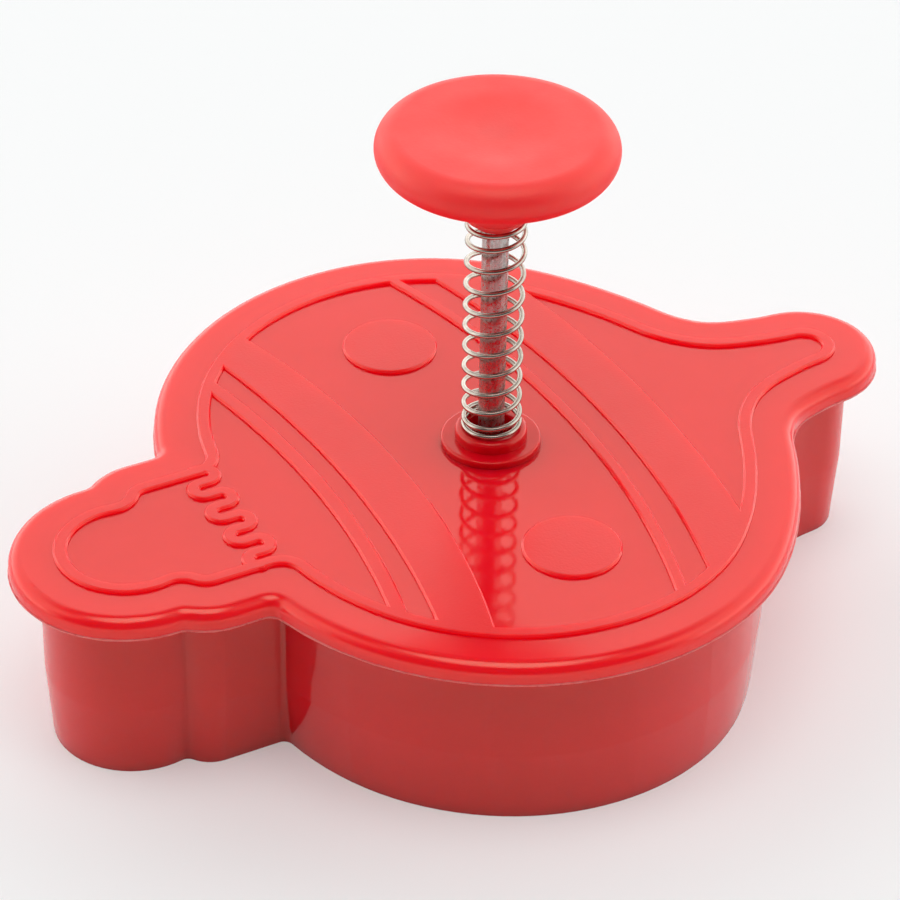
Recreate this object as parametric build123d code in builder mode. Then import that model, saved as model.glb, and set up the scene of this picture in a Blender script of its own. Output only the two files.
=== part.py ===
from build123d import *
from math import atan2, cos, degrees, pi, radians, sin, sqrt
import os

os.makedirs("parts", exist_ok=True)

# Plunger cutter for biscuit dough, in the outline of a round bauble with a
# hanging cap and a pointed finial. Lengths are millimetres. The cutting edge
# stands on z = 0, +X runs along the bauble towards its finial, +Y across it,
# and +Z up through the push knob. The origin is the middle of the plan.

# Cutting outline: the outer face of the skirt, measured from the rod
nose_reach = 47.6          # rod to the tip of the finial
cap_reach = 55.2           # rod to the end of the hanging loop
ball_reach = 33.1          # rod to the ball's own back edge, under the cap
half_width = 38.05         # half of the ball's greatest width
loop_radius = 9.8          # round loop at the cap's end
collar_half_width = 11.8   # cap collar, between the loop and the ball
loop_standoff = 1.6         # middle of the loop, out of the collar's end
collar_corner = 4.5
crease_round = 0.6         # inside corners of the outline

# Body: flanged plate and skirt
flange_overhang = 3.35     # the flange stands this far out of the skirt
plate_thickness = 2.9
flange_top_round = 1.5
flange_low_round = 0.5
flange_crease_round = 1.6   # inside corners of the flange
skirt_height = 21.3        # cutting edge to the underside of the plate
skirt_wall = 1.4
edge_wall = 0.8            # wall left at the cutting edge
taper_height = 9.0         # the skirt's outer face leans in over this height
root_round = 0.8           # inside corner between skirt and plate

# Raised drawing on the plate
relief_height = 0.45
relief_edge = 0.25         # bevel along its top edges
line_width = 1.6
line_inset = 2.4           # middle of the outline line, in from the skirt face
dot_radius = 5.6
dot_spread = 22.0          # dots, off the middle line
dot_setback = 1.7          # dots, behind the rod
scallop_pitch = 4.8        # wavy line between cap and ball
scallop_reach = 3.5        # its width along X, on the line's middle
scallop_width = 1.6
scallop_setback = 32.8     # its middle, behind the rod
scallop_waves = 4

# Guide bush: pressed into the plate, carries the spring
bush_hole_radius = 3.4
bush_ring_radius = 5.75
bush_ring_thickness = 0.9
bush_ring_round = 0.3
bush_boss_radius = 4.15
bush_boss_height = 2.3     # spring seat above the plate
bush_boss_round = 0.6
bush_mouth_radius = 2.5
bush_mouth_depth = 1.7
bush_tail = 1.6            # barrel left below the plate

# Rod, spring and knob
rod_radius = 1.5
rod_tip_chamfer = 0.3
spring_radius = 3.2        # to the middle of the wire
wire_radius = 0.3
spring_length = 27.84      # as held between bush and knob
end_pitch = 1.14           # closed turns at both ends
low_end_turns = 1.5
top_end_turns = 1.0
open_turns = 9.0
knob_radius = 13.5
knob_height = 11.0         # spring seat to the rim's crown
knob_edge_round = 2.4
knob_edge_angle = 60.0     # degrees below level where the underside leaves the rim
knob_dish_radius = 8.8
knob_dish_depth = 0.5
knob_neck_radius = 3.5
knob_neck_length = 0.4
knob_spigot_radius = 2.5   # inside the spring's last turn
knob_spigot_length = 0.9
knob_socket_depth = 9.0    # rod's hole, up from the spring seat

# Stamp plate inside the skirt: a shallow tray with a hub for the rod
stamp_floor = 1.8
stamp_relief = 0.8         # drawing, out of the underside
rim_height = 5.0           # underside of the floor to the top of the tray's rim
rim_wall = 1.2
rim_edge = 0.3             # bevel along the top of the tray's rim
hub_radius = 4.2
hub_height = 5.6           # underside of the floor to the top of the hub
hub_floor = 1.2            # left under the rod's lower end
rib_count = 6
rib_length = 13.0          # from the middle of the rod
rib_height = 2.0           # above the floor
rib_thickness = 1.4

# Fits and clearances
running_gap = 0.06         # rod in the bush bore
press_gap = 0.02           # rod in its two sockets, bush in the plate
stamp_gap = 0.45           # stamp plate inside the skirt
rest_gap = 0.3             # moving piece off its stop or seat at rest

# Places worked out from the sizes above
rod_x = (cap_reach - nose_reach) / 2
plate_top = skirt_height + plate_thickness
spring_seat = plate_top + bush_boss_height
spring_top = spring_seat + spring_length
knob_seat = spring_top + rest_gap
bush_foot = skirt_height - bush_tail
hub_top = bush_foot - rest_gap
stamp_bottom = hub_top - hub_height
stamp_top = stamp_bottom + stamp_floor
rod_foot = stamp_bottom + hub_floor
rod_head = knob_seat + knob_socket_depth
knob_crown = knob_seat + knob_height
rod_plane = Plane((rod_x, 0, 0))
collar_end = cap_reach - loop_radius - loop_standoff


def smooth_bend(start, leaving, end, arriving):
    """Join two points by two arcs, tangent to each other and to both headings."""
    start, leaving, end, arriving = Vector(start), Vector(leaving), Vector(end), Vector(arriving)
    span, both = end - start, leaving + arriving
    a, b, c = both.dot(both) - 4, span.dot(both), span.dot(span)
    reach = (b - sqrt(b * b - a * c)) / a
    joint = (start + leaving * reach + end - arriving * reach) / 2
    arc = TangentArc(start, joint, tangent=leaving)
    TangentArc(joint, end, tangent=arc % 1)


# Cutting outline in plan: ball with its finial, cap collar and round loop
# (along X, share of nose_reach or ball_reach; across, share of half_width; heading in degrees)
crown_share = (-0.060, 1.0)
front_shares = [
    (0.362, 0.800, -44),
    (0.603, 0.356, -66),
    (0.757, 0.175, -17),
    (0.895, 0.139, -5),
    (1.0, 0.0, -90),
]
back_shares = [(-0.874, 0.560, 243), (-1.0, 0.0, 270)]

with BuildSketch() as outline:
    with BuildLine():
        for side, reach, shares in ((0, nose_reach, front_shares), (180, ball_reach, back_shares)):
            start = (crown_share[0] * ball_reach, crown_share[1] * half_width)
            leaving = (cos(radians(side)), sin(radians(side)))
            for along, across, heading in shares:
                end = (along * reach, across * half_width)
                arriving = (cos(radians(heading)), sin(radians(heading)))
                smooth_bend(start, leaving, end, arriving)
                start, leaving = end, arriving
        Line((-ball_reach, 0), (nose_reach, 0))
    make_face()
    mirror(about=Plane.XZ)
    with Locations((-cap_reach + loop_radius, 0)):
        Circle(loop_radius)
    with Locations((-collar_end / 2, 0)):
        RectangleRounded(collar_end, 2 * collar_half_width, collar_corner)
    # growing and shrinking again rounds the inside corners alone
    offset(amount=crease_round)
    offset(amount=-crease_round)

# Raised drawing in plan
# (left edge at the middle line, left edge at the ends, half length, width at the middle, width at the ends)
# as shares of half_width
stripe_shares = [
    (-0.588, -0.690, 0.750, 0.050, 0.050),
    (-0.481, -0.591, 0.850, 0.178, 0.155),
    (0.256, 0.095, 0.960, 0.038, 0.038),
    (0.367, 0.220, 0.960, 0.172, 0.200),
]

with BuildSketch() as stripes:
    for middle, ends, half_length, middle_width, end_width in stripe_shares:
        left, low_left = middle * half_width, ends * half_width
        right = left + middle_width * half_width
        low_right = low_left + end_width * half_width
        reach = half_length * half_width
        with BuildLine():
            ThreePointArc((low_left, -reach), (left, 0), (low_left, reach))
            Line((low_left, reach), (low_right, reach))
            ThreePointArc((low_right, reach), (right, 0), (low_right, -reach))
            Line((low_right, -reach), (low_left, -reach))
        make_face()
    offset(outline.sketch, amount=-line_inset, mode=Mode.INTERSECT)

with BuildSketch() as scallop:
    with BuildLine():
        step = scallop_pitch / 2
        tread = (scallop_reach - step) / 2
        side = 1
        for count in range(2 * scallop_waves):
            y_from = scallop_waves * step - count * step
            x_turn = -scallop_setback + side * tread
            x_back = -scallop_setback - side * tread
            bulge = x_turn + side * step / 2
            Line((x_back, y_from), (x_turn, y_from))
            ThreePointArc((x_turn, y_from), (bulge, y_from - step / 2), (x_turn, y_from - step))
            side = -side
    trace(line_width=scallop_width)

with BuildSketch() as border:
    offset(outline.sketch, amount=line_width / 2 - line_inset)
    offset(outline.sketch, amount=-line_width / 2 - line_inset, mode=Mode.SUBTRACT)

with BuildSketch() as dots:
    with Locations((-dot_setback, dot_spread), (-dot_setback, -dot_spread)):
        Circle(dot_radius)

figures = [border, scallop, dots, stripes]

# the same figures in relief, each with a bevel along its top edges; the cut ends
# of the stripes run into the border, so only their long arcs are bevelled
reliefs = []
for figure in figures:
    with BuildPart() as relief:
        with BuildSketch(rod_plane.offset(plate_top)):
            add(figure.sketch)
        extrude(amount=relief_height)
        top_edges = relief.faces().filter_by(Plane.XY).group_by(Axis.Z)[-1].edges()
        if figure is stripes:
            top_edges = top_edges.sort_by(SortBy.LENGTH)[-2 * len(stripe_shares):]
        chamfer(top_edges, relief_edge)
    reliefs.append(relief.part)


# Body: flanged plate, drawing and skirt in one moulding
lean = degrees(atan2(skirt_wall - edge_wall, taper_height))
with BuildPart() as cutter_body:
    with BuildSketch(rod_plane.offset(skirt_height)):
        offset(outline.sketch, amount=flange_overhang + flange_crease_round)
        offset(amount=-flange_crease_round)
    extrude(amount=plate_thickness)
    with BuildSketch(rod_plane.offset(taper_height)):
        add(outline.sketch)
    extrude(amount=skirt_height - taper_height)
    # the outer face leans in towards the cutting edge
    with BuildSketch(rod_plane.offset(taper_height)):
        add(outline.sketch)
    extrude(amount=-taper_height, taper=lean)
    with BuildSketch(rod_plane):
        offset(outline.sketch, amount=-skirt_wall)
    extrude(amount=skirt_height, mode=Mode.SUBTRACT)
    level = cutter_body.faces().filter_by(Plane.XY).group_by(Axis.Z)
    flange_underside, ceiling = level[1].sort_by(SortBy.AREA)[0], level[1].sort_by(SortBy.AREA)[-1]
    roots = flange_underside.inner_wires()[0].edges() + ceiling.outer_wire().edges()
    fillet(roots, root_round)
    fillet(cutter_body.faces().filter_by(Plane.XY).sort_by(Axis.Z)[-1].outer_wire().edges(), flange_top_round)
    underside = cutter_body.faces().filter_by(Plane.XY).group_by(Axis.Z)[1].sort_by(SortBy.AREA)[0]
    fillet(underside.outer_wire().edges(), flange_low_round)
    add(reliefs)
    with BuildSketch(rod_plane.offset(skirt_height)):
        Circle(bush_hole_radius)
    extrude(amount=plate_thickness, mode=Mode.SUBTRACT)
cutter_body.part.label = "cutter_body"

# Guide bush: ring on the plate, boss with a sunk mouth, barrel through the plate
with BuildPart() as guide_bush:
    with BuildSketch(rod_plane.offset(bush_foot)):
        Circle(bush_hole_radius - press_gap)
    extrude(amount=plate_top - bush_foot)
    with BuildSketch(rod_plane.offset(plate_top)):
        Circle(bush_ring_radius)
    extrude(amount=bush_ring_thickness)
    fillet(guide_bush.edges().group_by(Axis.Z)[-1], bush_ring_round)
    with BuildSketch(rod_plane.offset(plate_top + bush_ring_thickness)):
        Circle(bush_boss_radius)
    extrude(amount=bush_boss_height - bush_ring_thickness)
    fillet(guide_bush.edges().group_by(Axis.Z)[-1], bush_boss_round)
    with BuildSketch(rod_plane.offset(bush_foot)):
        Circle(rod_radius + running_gap)
    extrude(amount=spring_seat - bush_foot, mode=Mode.SUBTRACT)
    with BuildSketch(rod_plane.offset(spring_seat)):
        Circle(bush_mouth_radius)
    extrude(amount=-bush_mouth_depth, mode=Mode.SUBTRACT)
guide_bush.part.label = "guide_bush"

# Rod: plain drawn wire with a small lead-in at both ends
with BuildPart() as plunger_rod:
    with BuildSketch(rod_plane.offset(rod_foot)):
        Circle(rod_radius)
    extrude(amount=rod_head - rod_foot)
    chamfer(plunger_rod.edges().filter_by(GeomType.CIRCLE), rod_tip_chamfer)
plunger_rod.part.label = "plunger_rod"

# Knob: mushroom turned about the rod, with a flared underside, a spigot inside
# the spring and a shallow dish on top that rolls softly into the rim
dish_bend_share = 0.7      # of the dish, where the hollow turns over towards the rim
rim_x = knob_radius - knob_edge_round
rim_z = knob_crown - knob_edge_round
leave = radians(knob_edge_angle)
rim_low = (rim_x + knob_edge_round * cos(leave), rim_z - knob_edge_round * sin(leave))
with BuildPart() as knob:
    with BuildSketch(Plane((rod_x, 0, 0), x_dir=(1, 0, 0), z_dir=(0, -1, 0))):
        with BuildLine():
            Polyline(
                (0, knob_crown - knob_dish_depth),
                (0, knob_seat - knob_spigot_length),
                (knob_spigot_radius, knob_seat - knob_spigot_length),
                (knob_spigot_radius, knob_seat),
                (knob_neck_radius, knob_seat),
                (knob_neck_radius, knob_seat + knob_neck_length),
            )
            neck_top = (knob_neck_radius, knob_seat + knob_neck_length)
            TangentArc(rim_low, neck_top, tangent=(-sin(leave), -cos(leave)))
            ThreePointArc(rim_low, (knob_radius, rim_z), (rim_x, knob_crown))
            Line((rim_x, knob_crown), (knob_dish_radius, knob_crown))
            dish_floor = (0, knob_crown - knob_dish_depth)
            bend_rise = dish_bend_share * knob_dish_depth
            dish_bend = (dish_bend_share * knob_dish_radius, knob_crown - knob_dish_depth + bend_rise)
            TangentArc(dish_floor, dish_bend, tangent=(1, 0))
            TangentArc((knob_dish_radius, knob_crown), dish_bend, tangent=(-1, 0))
        make_face()
    revolve(axis=Axis((rod_x, 0, 0), (0, 0, 1)))
    with BuildSketch(rod_plane.offset(knob_seat - knob_spigot_length)):
        Circle(rod_radius + press_gap)
    extrude(amount=knob_spigot_length + knob_socket_depth, mode=Mode.SUBTRACT)
knob.part.label = "knob"

# Stamp plate: follows the inside of the skirt, carries the same drawing on its
# underside, and holds the rod in a ribbed hub
with BuildPart() as stamp_plate:
    with BuildSketch(rod_plane.offset(stamp_bottom)):
        offset(outline.sketch, amount=-skirt_wall - stamp_gap)
    extrude(amount=rim_height)
    with BuildSketch(rod_plane.offset(stamp_top)):
        offset(outline.sketch, amount=-skirt_wall - stamp_gap - rim_wall)
    extrude(amount=rim_height - stamp_floor, mode=Mode.SUBTRACT)
    chamfer(stamp_plate.faces().filter_by(Plane.XY).sort_by(Axis.Z)[-1].edges(), rim_edge)
    with BuildSketch(rod_plane.offset(stamp_bottom - stamp_relief)):
        add([figure.sketch for figure in figures])
        offset(outline.sketch, amount=-skirt_wall - stamp_gap, mode=Mode.INTERSECT)
    extrude(amount=stamp_relief)
    with BuildSketch(rod_plane.offset(stamp_top)):
        with PolarLocations(0, rib_count):
            Rectangle(rib_length, rib_thickness, align=(Align.MIN, Align.CENTER))
    extrude(amount=rib_height)
    with BuildSketch(rod_plane.offset(stamp_top)):
        Circle(hub_radius)
    extrude(amount=hub_top - stamp_top)
    with BuildSketch(rod_plane.offset(hub_top)):
        Circle(rod_radius + press_gap)
    extrude(amount=rod_foot - hub_top, mode=Mode.SUBTRACT)
stamp_plate.part.label = "stamp_plate"

# Return spring: one length of wire, closed turns at both ends, open between.
# Each half turn is two arcs that meet smoothly halfway.
open_pitch = (spring_length - 2 * wire_radius - (low_end_turns + top_end_turns) * end_pitch) / open_turns
rises = [end_pitch / 2] * int(2 * low_end_turns)
rises += [open_pitch / 2] * int(2 * open_turns)
rises += [end_pitch / 2] * int(2 * top_end_turns)
nodes, headings = [], []
height = spring_seat + wire_radius
for count in range(len(rises) + 1):
    slope = (rises[max(count - 1, 0)] + rises[min(count, len(rises) - 1)]) / (2 * pi)
    side = spring_radius * cos(count * pi)
    nodes.append(Vector(rod_x - side, 0, height))
    headings.append(Vector(0, -side, slope).normalized())
    height += rises[min(count, len(rises) - 1)]

with BuildPart() as return_spring:
    with BuildLine() as coil:
        for count in range(len(rises)):
            smooth_bend(nodes[count], headings[count], nodes[count + 1], headings[count + 1])
    with BuildSketch(Plane(origin=nodes[0], z_dir=headings[0])):
        Circle(wire_radius)
    sweep(path=coil.line)
return_spring.part.label = "return_spring"

# least gap of the wire to itself, on points along its middle, half a turn and more apart
arc_points = 8
points = [edge @ (step / arc_points) for edge in coil.edges() for step in range(arc_points)]
apart = 2 * arc_points
least = min(
    (points[i] - points[j]).length for i in range(len(points)) for j in range(i + apart, len(points))
)
print("spring: open pitch", round(open_pitch, 3), "least gap", round(least - 2 * wire_radius, 3))

for piece in (cutter_body, guide_bush, return_spring, plunger_rod, knob, stamp_plate):
    export_step(piece.part, f"parts/{piece.part.label}.step")
    print(piece.part.label, round(piece.part.volume, 1), piece.part.is_valid)
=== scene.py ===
import math
import random

import bmesh
import bpy
from mathutils import Matrix, Vector


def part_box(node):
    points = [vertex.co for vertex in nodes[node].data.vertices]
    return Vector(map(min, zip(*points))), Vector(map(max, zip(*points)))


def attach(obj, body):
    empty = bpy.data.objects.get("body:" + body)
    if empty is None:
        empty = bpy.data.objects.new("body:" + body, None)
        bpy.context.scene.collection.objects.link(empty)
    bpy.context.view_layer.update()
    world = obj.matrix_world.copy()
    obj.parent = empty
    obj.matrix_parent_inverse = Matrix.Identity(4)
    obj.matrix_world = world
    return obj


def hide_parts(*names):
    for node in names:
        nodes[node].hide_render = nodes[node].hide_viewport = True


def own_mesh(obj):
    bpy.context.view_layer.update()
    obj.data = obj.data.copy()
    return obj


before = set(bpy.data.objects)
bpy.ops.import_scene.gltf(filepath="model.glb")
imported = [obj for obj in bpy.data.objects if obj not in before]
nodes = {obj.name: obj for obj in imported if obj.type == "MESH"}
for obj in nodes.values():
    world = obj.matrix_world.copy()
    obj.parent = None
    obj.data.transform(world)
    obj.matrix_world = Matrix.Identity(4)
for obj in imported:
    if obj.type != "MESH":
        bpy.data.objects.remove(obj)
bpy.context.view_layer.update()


# --- Cutter body -----------------------------------------------------------
# The flanged plate, its raised drawing and the skirt are one injection
# moulding in red polypropylene. The mould was polished where the plate and
# skirt are glossy, and left with a fine spark-eroded grain on the drawing.

def linear(hex_colour):
    """sRGB hex value as a linear RGBA colour."""
    channels = [int(hex_colour[i:i + 2], 16) / 255 for i in (1, 3, 5)]
    return tuple(c / 12.92 if c <= 0.04045 else ((c + 0.055) / 1.055) ** 2.4 for c in channels) + (1.0,)


def add_node(material, kind, settings=None, **inputs):
    """A node with its settings; an input is a value, or the output socket that feeds it."""
    node = material.node_tree.nodes.new(kind)
    for name, value in (settings or {}).items():
        setattr(node, name, value)
    for name, value in inputs.items():
        key = int(name[1:]) if name[0] == "_" and name[1:].isdigit() else name.replace("_", " ")
        socket = node.inputs[key]
        if isinstance(value, bpy.types.NodeSocket):
            material.node_tree.links.new(value, socket)
        else:
            socket.default_value = value
    return node


def start_material(name, **sockets):
    """A material with a Principled shader, and the shader and the object's own coordinates."""
    material = bpy.data.materials.new(name)
    material.use_nodes = True
    shader = material.node_tree.nodes["Principled BSDF"]
    for socket, value in sockets.items():
        shader.inputs[socket.replace("_", " ")].default_value = value
    place = add_node(material, "ShaderNodeTexCoord").outputs["Object"]
    return material, shader, place


def patches(material, place, size_mm, low, high):
    """Soft uneven values between low and high, in patches of a real size."""
    noise = add_node(material, "ShaderNodeTexNoise", Vector=place, Scale=1000 / size_mm, Detail=4.0,
                     Roughness=0.55)
    return add_node(material, "ShaderNodeMapRange", Value=noise.outputs["Fac"], From_Min=0.3, From_Max=0.7,
                    To_Min=low, To_Max=high).outputs["Result"]


def blend(material, factor, low, high):
    """A value that runs from low to high with the factor."""
    mix = add_node(material, "ShaderNodeMix", {"data_type": "FLOAT"}, Factor=factor, _2=low, _3=high)
    return mix.outputs[0]


def tones(material, factor, dull, bright):
    """A colour that runs between two hex values with the factor."""
    return add_node(material, "ShaderNodeMix", {"data_type": "RGBA"}, Factor=factor, _6=linear(dull),
                    _7=linear(bright)).outputs[2]


def dress(node, material):
    """Gives a CAD node its finish."""
    nodes[node].data.materials.clear()
    nodes[node].data.materials.append(material)


relief_height = 0.00045
relief_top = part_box("cutter_body")[1][2]
plate_top = relief_top - relief_height
plate_thickness = 0.0029
flange_low_round = 0.0005
rod_x = (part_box("plunger_rod")[0][0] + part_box("plunger_rod")[1][0]) / 2

# polypropylene: mirror-polished where the mould was, so it shows the knob and spring upside down;
# the raised drawing is grained and spreads the same light, from halfway up its bevelled edge
body_pp, shader, place = start_material(
    "red_polypropylene_polished_and_grained", IOR=1.58, Specular_Tint=(1.0, 0.97, 0.72, 1.0),
    Subsurface_Weight=0.9, Subsurface_Scale=0.0040, Subsurface_Radius=(1.0, 0.10, 0.08))
links = body_pp.node_tree.links
height = add_node(body_pp, "ShaderNodeSeparateXYZ", Vector=place).outputs["Z"]
raised = add_node(body_pp, "ShaderNodeMapRange", Value=height, From_Min=plate_top + 0.5 * relief_height,
                  From_Max=relief_top - 0.00005, To_Min=0.0, To_Max=1.0).outputs["Result"]
# the mould's polish gives out towards the rim of the plate
polish_end, satin_start = 0.035, 0.038    # from the rod
off_rod = add_node(body_pp, "ShaderNodeVectorMath", {"operation": "SUBTRACT"}, _0=place, _1=(rod_x, 0, 0))
level_with = add_node(body_pp, "ShaderNodeVectorMath", {"operation": "MULTIPLY"}, _0=off_rod.outputs[0],
                      _1=(1, 1, 0))
reach = add_node(body_pp, "ShaderNodeVectorMath", {"operation": "LENGTH"}, _0=level_with.outputs[0])
rim = add_node(body_pp, "ShaderNodeMapRange", Value=reach.outputs["Value"], From_Min=polish_end,
               From_Max=satin_start, To_Min=0.0, To_Max=1.0).outputs["Result"]
inside = patches(body_pp, place, 9.0, 0.05, 0.09)
polished = blend(body_pp, rim, inside, patches(body_pp, place, 6.0, 0.15, 0.20))
grained = patches(body_pp, place, 3.0, 0.30, 0.38)
links.new(blend(body_pp, raised, polished, grained), shader.inputs["Roughness"])
# painted glow: the plate's rounded edges and turned faces, above the flange's low round, get a brighter,
# fuller red base colour than its flats, standing in for light that has crossed the plate and comes out there
tilt = add_node(body_pp, "ShaderNodeNewGeometry").outputs["Normal"]
tilt = add_node(body_pp, "ShaderNodeSeparateXYZ", Vector=tilt).outputs["Z"]
turned = add_node(body_pp, "ShaderNodeMapRange", Value=tilt, From_Min=0.95, From_Max=0.6, To_Min=0.0,
                  To_Max=1.0)
in_plate = add_node(body_pp, "ShaderNodeMapRange", Value=height, From_Min=plate_top - plate_thickness,
                    From_Max=plate_top - plate_thickness + flange_low_round, To_Min=0.0, To_Max=1.0)
painted_edge_glow = add_node(body_pp, "ShaderNodeMath", {"operation": "MULTIPLY"}, _0=turned.outputs["Result"],
                    _1=in_plate.outputs["Result"])
flats = tones(body_pp, patches(body_pp, place, 14.0, 0.0, 1.0), "#E40A1E", "#EA0C22")
# the brighter red mixed in here is the painted glow on the turned edges
colour = add_node(body_pp, "ShaderNodeMix", {"data_type": "RGBA"}, Factor=painted_edge_glow.outputs[0], _6=flats,
                  _7=linear("#FF1024"))
links.new(colour.outputs[2], shader.inputs["Base Color"])
# spark-eroded grain, 0.30 mm and so coarser than the real one, to show in the render
grain = add_node(body_pp, "ShaderNodeTexNoise", Vector=place, Scale=1000 / 0.30, Detail=2.0, Roughness=0.6)
grain_height = add_node(body_pp, "ShaderNodeMath", {"operation": "MULTIPLY"}, _0=raised,
                        _1=grain.outputs["Fac"])
# sink marks and flow of the moulding, 6 mm across, just enough to bend a reflection
flow = add_node(body_pp, "ShaderNodeTexNoise", Vector=place, Scale=1000 / 6.0, Detail=1.0, Roughness=0.4)
sink = add_node(body_pp, "ShaderNodeBump", Strength=0.35, Distance=0.00006, Height=flow.outputs["Fac"])
bump = add_node(body_pp, "ShaderNodeBump", Strength=0.8, Distance=0.00003, Height=grain_height.outputs[0],
                Normal=sink.outputs["Normal"])
links.new(bump.outputs["Normal"], shader.inputs["Normal"])
dress("cutter_body", body_pp)


# --- Moulding flash --------------------------------------------------------
# A hair of plastic squeezed out where the two halves of the mould met, along
# the lower edge of the flange. It is part of the moulding, thin and so paler,
# and uneven where it was trimmed. Its pale colour is also a painted highlight:
# a light line along the flange's lower edge.

def tube(name, centres, radii, sides, material):
    """A closed round tube along a row of points, with a radius at each, as a mesh object."""
    build = bmesh.new()
    rings = []
    for i, centre in enumerate(centres):
        ahead = (centres[min(i + 1, len(centres) - 1)] - centres[max(i - 1, 0)]).normalized()
        across = ahead.cross(Vector((0, 0, 1))).normalized()
        upward = across.cross(ahead)
        ring = []
        for k in range(sides):
            turn = 2 * math.pi * k / sides
            outward = across * math.cos(turn) + upward * math.sin(turn)
            ring.append(build.verts.new(centre + radii[i] * outward))
        rings.append(ring)
    for low, high in zip(rings, rings[1:]):
        for k in range(sides):
            build.faces.new((low[k], low[k - 1], high[k - 1], high[k])).smooth = True
    build.faces.new(rings[0])
    build.faces.new(list(reversed(rings[-1])))
    bmesh.ops.recalc_face_normals(build, faces=build.faces)
    mesh = bpy.data.meshes.new(name)
    build.to_mesh(mesh)
    build.free()
    mesh.materials.append(material)
    piece = bpy.data.objects.new(name, mesh)
    bpy.context.scene.collection.objects.link(piece)
    return piece


# the parting line: the body's own edges where the flange's side starts, joined into one loop
parting = plate_top - plate_thickness + flange_low_round
same_height = 0.00001
body_mesh, body_place = nodes["cutter_body"].data, nodes["cutter_body"].matrix_world
spots = [body_place @ v.co for v in body_mesh.vertices]
beside = {}
for one, other in (edge.vertices for edge in body_mesh.edges):
    if abs(spots[one].z - parting) < same_height and abs(spots[other].z - parting) < same_height:
        a, b = (tuple(round(c, 6) for c in spots[k]) for k in (one, other))
        if a != b:
            beside.setdefault(a, set()).add(b)
            beside.setdefault(b, set()).add(a)
loop = [min(beside)]
ahead = sorted(beside[loop[0]])[0]
while ahead is not None:
    loop.append(ahead)
    ahead = next((k for k in sorted(beside[ahead]) if k not in loop[-3:] and k not in loop[1:]), None)
    if ahead == loop[0]:
        loop.append(ahead)
        ahead = None
trim = random.Random(3)
thin, burr = 0.00010, 0.00005
flash_radii = [thin + burr * trim.random() ** 3 for _ in loop]
# too thin to hold its colour, so it is pale; the pale colour is also a painted highlight, a light satin
# hairline along the flange's lower edge
flash_pp, shader, place = start_material(
    "red_polypropylene_thin_flash", IOR=1.5, Subsurface_Weight=0.4, Subsurface_Scale=0.0010,
    Subsurface_Radius=(1.0, 0.30, 0.25))
flash_pp.node_tree.links.new(patches(flash_pp, place, 0.5, 0.25, 0.40), shader.inputs["Roughness"])
flash_pp.node_tree.links.new(tones(flash_pp, patches(flash_pp, place, 1.5, 0.0, 1.0), "#EE4A4C", "#F47674"),
                             shader.inputs["Base Color"])
flash = tube("moulding_flash", [Vector(k) for k in loop], flash_radii, 8, flash_pp)
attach(flash, "cutter")


# --- Guide bush ------------------------------------------------------------
# A turned-looking moulding pressed into the plate: a thin ring, and a boss
# with a sunk mouth for the rod. Red polypropylene from a polished mould,
# glossier than the plate round it, with a darker red base colour than the plate's.

# polished on all its small curves, so the light stands on it in narrow rings
bush_pp, shader, place = start_material(
    "red_polypropylene_polished", IOR=1.50, Specular_Tint=(1.0, 0.97, 0.72, 1.0), Subsurface_Weight=0.6,
    Subsurface_Scale=0.0020, Subsurface_Radius=(1.0, 0.08, 0.06))
links = bush_pp.node_tree.links
links.new(patches(bush_pp, place, 1.5, 0.10, 0.20), shader.inputs["Roughness"])
links.new(tones(bush_pp, patches(bush_pp, place, 4.0, 0.0, 1.0), "#D20418", "#DE061C"),
          shader.inputs["Base Color"])
flow = add_node(bush_pp, "ShaderNodeTexNoise", Vector=place, Scale=1000 / 0.8, Detail=2.0, Roughness=0.5)
bump = add_node(bush_pp, "ShaderNodeBump", Strength=0.3, Distance=0.00002, Height=flow.outputs["Fac"])
links.new(bump.outputs["Normal"], shader.inputs["Normal"])
dress("guide_bush", bush_pp)


# --- Plunger rod -----------------------------------------------------------
# A length of 3 mm stainless steel wire, drawn and polished, pressed into the
# knob above and into the stamp plate below.

# drawn steel: broken bright and dark streaks down the rod, with duller specks where it was handled
rod_steel, shader, place = start_material("stainless_steel_drawn_and_polished", Metallic=1.0)
links = rod_steel.node_tree.links
# die lines, drawn 0.25 mm across and stretched twenty times along Z, coarser than real ones to show
along = add_node(rod_steel, "ShaderNodeMapping", Vector=place, Scale=(1.0, 1.0, 0.05)).outputs["Vector"]
lines = add_node(rod_steel, "ShaderNodeTexNoise", Vector=along, Scale=1000 / 0.25, Detail=3.0, Roughness=0.6)
specks = patches(rod_steel, place, 0.30, 0.12, 0.48)
links.new(specks, shader.inputs["Roughness"])
links.new(tones(rod_steel, lines.outputs["Fac"], "#8A8682", "#DEDBD8"), shader.inputs["Base Color"])
bump = add_node(rod_steel, "ShaderNodeBump", Strength=0.5, Distance=0.00003, Height=lines.outputs["Fac"])
links.new(bump.outputs["Normal"], shader.inputs["Normal"])
dress("plunger_rod", rod_steel)


# --- Return spring ---------------------------------------------------------
# One length of 0.6 mm stainless spring wire, cold wound anticlockwise up the
# rod, with closed turns on the bush and under the knob. It is drawn as held
# at rest, with the small differences in pitch and radius of a wound spring.

wire_radius, coil_radius = 0.0003, 0.0032
coil_low, coil_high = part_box("return_spring")
seat = coil_low[2]
spring_length = coil_high[2] - seat
turns = 11.75
# height of the wire's middle over the seat in mm, where each turn passes the front, for a 27.84 mm spring
front_heights = [0.43, 1.50, 3.64, 6.16, 8.80, 11.55, 14.28, 16.99, 19.81, 22.73, 25.50, 27.33]
first_front = 0.421
marks = [(0.0, 0.30)] + [(first_front + k, h) for k, h in enumerate(front_heights)] + [(turns, 27.54)]
marked_length = 0.02784


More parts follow.
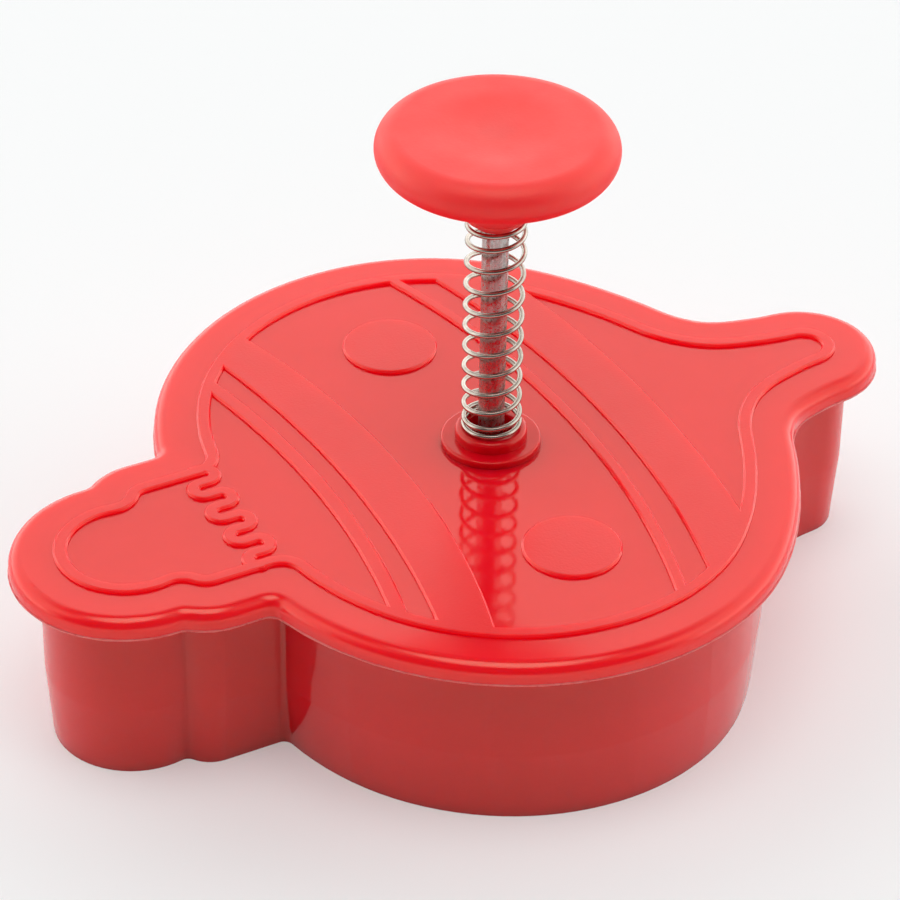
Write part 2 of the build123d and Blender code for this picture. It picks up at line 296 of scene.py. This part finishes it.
def wire_height(turn):
    """Height over the seat in mm, on a smooth curve through the marks."""
    k = max(i for i in range(len(marks) - 1) if marks[i][0] <= turn)
    before, after = max(k - 1, 0), min(k + 2, len(marks) - 1)
    (t0, h0), (t1, h1) = marks[k], marks[k + 1]
    rate0 = (h1 - marks[before][1]) / (t1 - marks[before][0])
    rate1 = (marks[after][1] - h0) / (marks[after][0] - t0)
    s, span = (turn - t0) / (t1 - t0), t1 - t0
    return (h0 * (2 * s ** 3 - 3 * s ** 2 + 1) + h1 * (3 * s ** 2 - 2 * s ** 3)
            + span * (rate0 * (s ** 3 - 2 * s ** 2 + s) + rate1 * (s ** 3 - s ** 2)))


sway = random.Random(7)
lean = 0.00007
drift = [(sway.uniform(-lean, lean), sway.uniform(-lean, lean)) for _ in range(14)]
steps = 40
centres = []
for count in range(int(turns * steps) + 1):
    turn = count / steps
    angle = math.pi / 2 + 2 * math.pi * turn
    k, part = int(turn), turn - int(turn)
    lean_x = drift[k][0] * (1 - part) + drift[k + 1][0] * part
    lean_y = drift[k][1] * (1 - part) + drift[k + 1][1] * part
    x = rod_x + lean_x + coil_radius * math.cos(angle)
    y = lean_y + coil_radius * math.sin(angle)
    centres.append(Vector((x, y, seat + wire_height(turn) / 1000 * spring_length / marked_length)))

# spring wire: brighter than the rod on the outside of the coil, with a faint skin of the drawing soap
wire_steel, shader, place = start_material("stainless_spring_wire_bright_drawn", Metallic=1.0)
links = wire_steel.node_tree.links
links.new(patches(wire_steel, place, 0.8, 0.12, 0.24), shader.inputs["Roughness"])
links.new(tones(wire_steel, patches(wire_steel, place, 1.6, 0.0, 1.0), "#A2998D", "#C6BEB3"),
          shader.inputs["Base Color"])
scuff = add_node(wire_steel, "ShaderNodeTexNoise", Vector=place, Scale=1000 / 0.15, Detail=2.0, Roughness=0.6)
bump = add_node(wire_steel, "ShaderNodeBump", Strength=0.25, Distance=0.00001, Height=scuff.outputs["Fac"])
links.new(bump.outputs["Normal"], shader.inputs["Normal"])

spring = tube("wound_return_spring", centres, [wire_radius] * len(centres), 14, wire_steel)
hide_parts("return_spring")
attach(spring, "cutter")
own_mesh(spring)


# --- Knob ------------------------------------------------------------------
# A mushroom-shaped push knob moulded with its neck in red polypropylene. Its
# mould was blasted all over, so the knob is matte and keeps no reflections.

# the blasted skin spreads the light into a pale haze over a red that glows from within
knob_pp, shader, place = start_material(
    "red_polypropylene_blasted_matte", IOR=1.72, Specular_Tint=(1.0, 0.99, 0.74, 1.0), Subsurface_Weight=0.9,
    Subsurface_Scale=0.0040, Subsurface_Radius=(1.0, 0.10, 0.08))
links = knob_pp.node_tree.links
links.new(patches(knob_pp, place, 4.0, 0.46, 0.56), shader.inputs["Roughness"])
links.new(tones(knob_pp, patches(knob_pp, place, 10.0, 0.0, 1.0), "#F60C20", "#FA1026"),
          shader.inputs["Base Color"])
# blasting grit, 0.35 mm and so coarser than the real one, to show in the render
grit = add_node(knob_pp, "ShaderNodeTexNoise", Vector=place, Scale=1000 / 0.35, Detail=2.0, Roughness=0.6)
bump = add_node(knob_pp, "ShaderNodeBump", Strength=0.5, Distance=0.00003, Height=grit.outputs["Fac"])
links.new(bump.outputs["Normal"], shader.inputs["Normal"])
dress("knob", knob_pp)


# --- Stamp plate -----------------------------------------------------------
# The tray inside the skirt that embosses the dough, pressed on the rod's
# lower end. The same red polypropylene, with the drawing out of its underside.

# satin from a lightly textured mould, so that the dough lets go: a broad dull shine
stamp_pp, shader, place = start_material(
    "red_polypropylene_satin", IOR=1.5, Specular_Tint=(1.0, 0.97, 0.72, 1.0), Subsurface_Weight=0.06,
    Subsurface_Scale=0.0010, Subsurface_Radius=(1.0, 0.10, 0.08))
links = stamp_pp.node_tree.links
links.new(patches(stamp_pp, place, 5.0, 0.22, 0.34), shader.inputs["Roughness"])
links.new(tones(stamp_pp, patches(stamp_pp, place, 12.0, 0.0, 1.0), "#D40A1E", "#DA0C22"),
          shader.inputs["Base Color"])
grain = add_node(stamp_pp, "ShaderNodeTexNoise", Vector=place, Scale=1000 / 0.35, Detail=2.0, Roughness=0.6)
bump = add_node(stamp_pp, "ShaderNodeBump", Strength=0.4, Distance=0.00002, Height=grain.outputs["Fac"])
links.new(bump.outputs["Normal"], shader.inputs["Normal"])
dress("stamp_plate", stamp_pp)


# --- Floor, light and camera -----------------------------------------------
# White studio table under a round soft light overhead, with white walls behind
# and at both sides and a dark studio behind the camera. The camera is fitted
# to the photo: its height, turn, lean and distance all come from the cutter.

table_reach = 1.6
table_mesh = bpy.data.meshes.new("table")
build = bmesh.new()
bmesh.ops.create_grid(build, x_segments=1, y_segments=1, size=table_reach)
build.to_mesh(table_mesh)
build.free()
table = bpy.data.objects.new("table", table_mesh)
bpy.context.scene.collection.objects.link(table)
# uncoated paper: no shine at all, only the soft shadow of the cutter
paper, shader, place = start_material("white_paper_matt", Roughness=0.9)
shader.inputs["Base Color"].default_value = linear("#EDEFEF")
links = paper.node_tree.links
# seen or mirrored, the paper is part white light, as overlit studio paper is
white_share = 0.26
path = add_node(paper, "ShaderNodeLightPath")
seen = add_node(paper, "ShaderNodeMath", _0=path.outputs["Is Camera Ray"], _1=path.outputs["Is Glossy Ray"])
seen = add_node(paper, "ShaderNodeMath", {"use_clamp": True}, _0=seen.outputs[0],
                _1=path.outputs["Is Transmission Ray"])
share = add_node(paper, "ShaderNodeMath", {"operation": "MULTIPLY"}, _0=seen.outputs[0], _1=white_share)
glow = add_node(paper, "ShaderNodeEmission", Color=linear("#FFFFFF"), Strength=1.0)
mixed = add_node(paper, "ShaderNodeMixShader", Fac=share.outputs[0], _1=shader.outputs["BSDF"],
                 _2=glow.outputs["Emission"])
# from below the table is open, so that the cutter's underside can be looked at
under = add_node(paper, "ShaderNodeNewGeometry").outputs["Backfacing"]
gone = add_node(paper, "ShaderNodeBsdfTransparent")
table_look = add_node(paper, "ShaderNodeMixShader", Fac=under, _1=mixed.outputs["Shader"],
                      _2=gone.outputs["BSDF"])
links.new(table_look.outputs["Shader"], paper.node_tree.nodes["Material Output"].inputs["Surface"])
table_mesh.materials.append(paper)

camera_turn = math.radians(28.4)    # round the rod, from straight in front
world = bpy.data.worlds.new("studio")
bpy.context.scene.world = world
world.use_nodes = True
ground = world.node_tree.nodes["Background"]
ground.inputs["Color"].default_value = (1, 1, 1, 1)
sky = add_node(world, "ShaderNodeTexCoord").outputs["Generated"]

# soft light: all but overhead, a little on the camera's side, full to 10 degrees and gone at 26
light_up, light_flat = math.sin(math.radians(78)), -math.cos(math.radians(78))
toward_light = (math.sin(camera_turn) * light_flat, math.cos(camera_turn) * light_flat, light_up)
facing = add_node(world, "ShaderNodeVectorMath", {"operation": "DOT_PRODUCT"}, _0=sky, _1=toward_light)
overhead = add_node(world, "ShaderNodeMapRange", {"interpolation_type": "SMOOTHSTEP"},
                    Value=facing.outputs["Value"], From_Min=math.cos(math.radians(26)),
                    From_Max=math.cos(math.radians(10)), To_Min=0.0, To_Max=2.9).outputs["Result"]
# walls: brightest at their foot, and fading out on the camera's side and towards the ceiling
away_side = add_node(world, "ShaderNodeVectorMath", {"operation": "DOT_PRODUCT"}, _0=sky,
                     _1=(math.sin(camera_turn), math.cos(camera_turn), 0))
round_behind = add_node(world, "ShaderNodeMapRange", {"interpolation_type": "SMOOTHSTEP"},
                        Value=away_side.outputs["Value"], From_Min=-0.62, From_Max=-0.15, To_Min=0.0,
                        To_Max=1.0)
rise = add_node(world, "ShaderNodeSeparateXYZ", Vector=sky).outputs["Z"]
lit_foot = add_node(world, "ShaderNodeMapRange", Value=rise, From_Min=0.0, From_Max=0.5, To_Min=2.35,
                    To_Max=1.35)
below_top = add_node(world, "ShaderNodeMapRange", {"interpolation_type": "SMOOTHSTEP"}, Value=rise,
                     From_Min=0.95, From_Max=0.70, To_Min=0.0, To_Max=1.0)
walls = add_node(world, "ShaderNodeMath", {"operation": "MULTIPLY"}, _0=round_behind.outputs["Result"],
                 _1=below_top.outputs["Result"])
walls = add_node(world, "ShaderNodeMath", {"operation": "MULTIPLY"}, _0=walls.outputs[0],
                 _1=lit_foot.outputs["Result"])
both = add_node(world, "ShaderNodeMath", _0=overhead, _1=walls.outputs[0])
stray_light = 0.1
level = add_node(world, "ShaderNodeMath", _0=both.outputs[0], _1=stray_light)
# the camera itself sees an even white wall beyond the table
direct = add_node(world, "ShaderNodeLightPath").outputs["Is Camera Ray"]
world.node_tree.links.new(blend(world, direct, level.outputs[0], 0.97), ground.inputs["Strength"])

# as fitted to the photo: focal length and shift in pixels of its frame, pitch and roll, and where the
# rod leaves the drawing's level in front of the camera (to the right, down, away), in units of 0.44 mm
frame_px, sensor_mm, focal_px, shift_px = 900, 36.0, 3845.26, 2
pitch, roll = math.radians(35.692), math.radians(0.922)
side, drop, away = 11.1255, -2.8127, 1000.0
unit = 0.00044
cr, sr, cp, sp = math.cos(roll), math.sin(roll), math.cos(pitch), math.sin(pitch)
view = Matrix(((cr, -sr, 0), (sr, cr, 0), (0, 0, 1))) @ Matrix(((1, 0, 0), (0, -sp, -cp), (0, cp, -sp)))
eye = -(view.transposed() @ Vector((side, drop, away))) * unit
turn = Matrix.Rotation(-camera_turn, 3, "Z")
eye = turn @ eye + Vector((rod_x, 0, relief_top))
right, down, forward = (turn @ Vector(row) for row in view)
camera = bpy.data.objects.new("camera", bpy.data.cameras.new("camera"))
bpy.context.scene.collection.objects.link(camera)
pose = Matrix((right, -down, -forward)).transposed().to_4x4()
pose.translation = eye
camera.matrix_world = pose
camera.data.sensor_width = sensor_mm
camera.data.lens = focal_px / frame_px * sensor_mm
camera.data.shift_x = shift_px / frame_px
camera.data.shift_y = -shift_px / frame_px
camera.data.clip_start = 0.01
bpy.context.scene.camera = camera
bpy.context.scene.view_settings.view_transform = "Standard"
